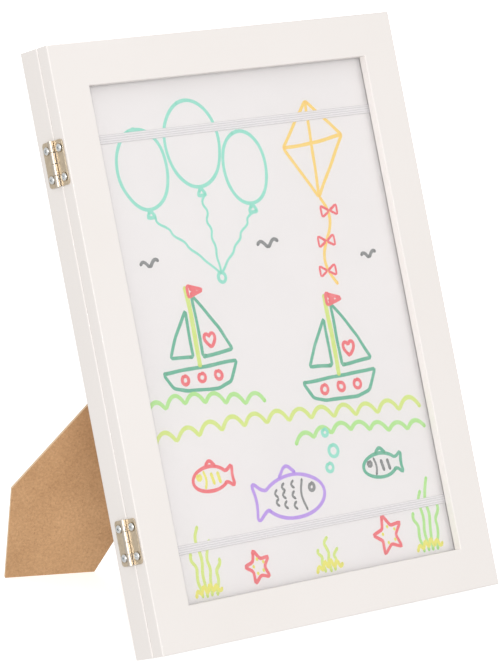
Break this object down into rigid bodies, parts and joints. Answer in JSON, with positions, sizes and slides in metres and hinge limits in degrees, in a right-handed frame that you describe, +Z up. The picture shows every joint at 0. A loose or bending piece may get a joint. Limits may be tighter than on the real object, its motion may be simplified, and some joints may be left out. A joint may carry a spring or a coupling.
{
  "type": "childrens art frame",
  "caption": "Portrait storage frame in white painted wood: a hinged glazed door over a shallow box of sheets, on a folding slanted leg.",
  "frame": {"origin": "middle of the standing frame's bounding box, on the table", "axes": "+Z up, +Y towards the back where the leg stands, +X to the right as seen from the front"},
  "size_m": [0.2584, 0.2016, 0.3293],
  "materials": {
    "white_paint": "satin warm white paint on wood",
    "fibreboard": "bare brown fibreboard",
    "paper": "matte white paper",
    "drawing_paper": "matte white paper with felt pen drawing",
    "elastic": "ribbed white elastic",
    "glazing": "clear, polished",
    "hinge_metal": "pale warm plating, satin",
    "zinc": "bright zinc plating",
    "magnet": "nickel plating"
  },
  "bodies": {
    "box": {"box_side_left": "white_paint", "box_side_right": "white_paint", "box_rail_top": "white_paint", "box_rail_bottom": "white_paint", "back_panel": "fibreboard", "panel_nail_1": "zinc", "panel_nail_2": "zinc", "panel_nail_3": "zinc", "panel_nail_4": "zinc", "panel_nail_5": "zinc", "panel_nail_6": "zinc", "stored_sheets": "paper", "artwork_sheet": "drawing_paper", "strap_lower": "elastic", "strap_upper": "elastic", "strap_lower_staple_left": "zinc", "strap_lower_staple_right": "zinc", "strap_upper_staple_left": "zinc", "strap_upper_staple_right": "zinc", "keeper_lower": "zinc", "keeper_upper": "zinc", "hinge_lower_box_leaf": "hinge_metal", "hinge_upper_box_leaf": "hinge_metal", "hinge_lower_pin": "hinge_metal", "hinge_upper_pin": "hinge_metal", "hinge_lower_box_screw_low": "zinc", "hinge_lower_box_screw_high": "zinc", "hinge_upper_box_screw_low": "zinc", "hinge_upper_box_screw_high": "zinc", "easel_panel_leaf": "hinge_metal", "easel_panel_rivet_left": "zinc", "easel_panel_rivet_right": "zinc", "easel_hinge_pin": "hinge_metal", "hanger_portrait": "zinc", "hanger_landscape": "zinc"},
    "door": {"door_stile_left": "white_paint", "door_stile_right": "white_paint", "door_rail_top": "white_paint", "door_rail_bottom": "white_paint", "door_glazing": "glazing", "glazing_point_1": "zinc", "glazing_point_2": "zinc", "glazing_point_3": "zinc", "glazing_point_4": "zinc", "glazing_point_5": "zinc", "glazing_point_6": "zinc", "door_magnet_lower": "magnet", "door_magnet_upper": "magnet", "hinge_lower_door_leaf": "hinge_metal", "hinge_upper_door_leaf": "hinge_metal", "hinge_lower_door_screw_low": "zinc", "hinge_lower_door_screw_high": "zinc", "hinge_upper_door_screw_low": "zinc", "hinge_upper_door_screw_high": "zinc"},
    "easel": {"easel_leg": "fibreboard", "easel_leg_leaf": "hinge_metal", "easel_leg_rivet_left": "zinc", "easel_leg_rivet_right": "zinc"}
  },
  "joints": [
    {"name": "door_swing", "type": "hinge", "parent": "box", "child": "door", "pos_m": [-0.12765, -0.09119, 0.00462], "axis": [0, -0.3256, -0.9455], "range_deg": [0, 160]},
    {"name": "leg_fold", "type": "hinge", "parent": "box", "child": "easel", "pos_m": [0.04356, -0.00218, 0.2149], "axis": [0.829, -0.1821, -0.5287], "range_deg": [-38.6, 0]}
  ]
}
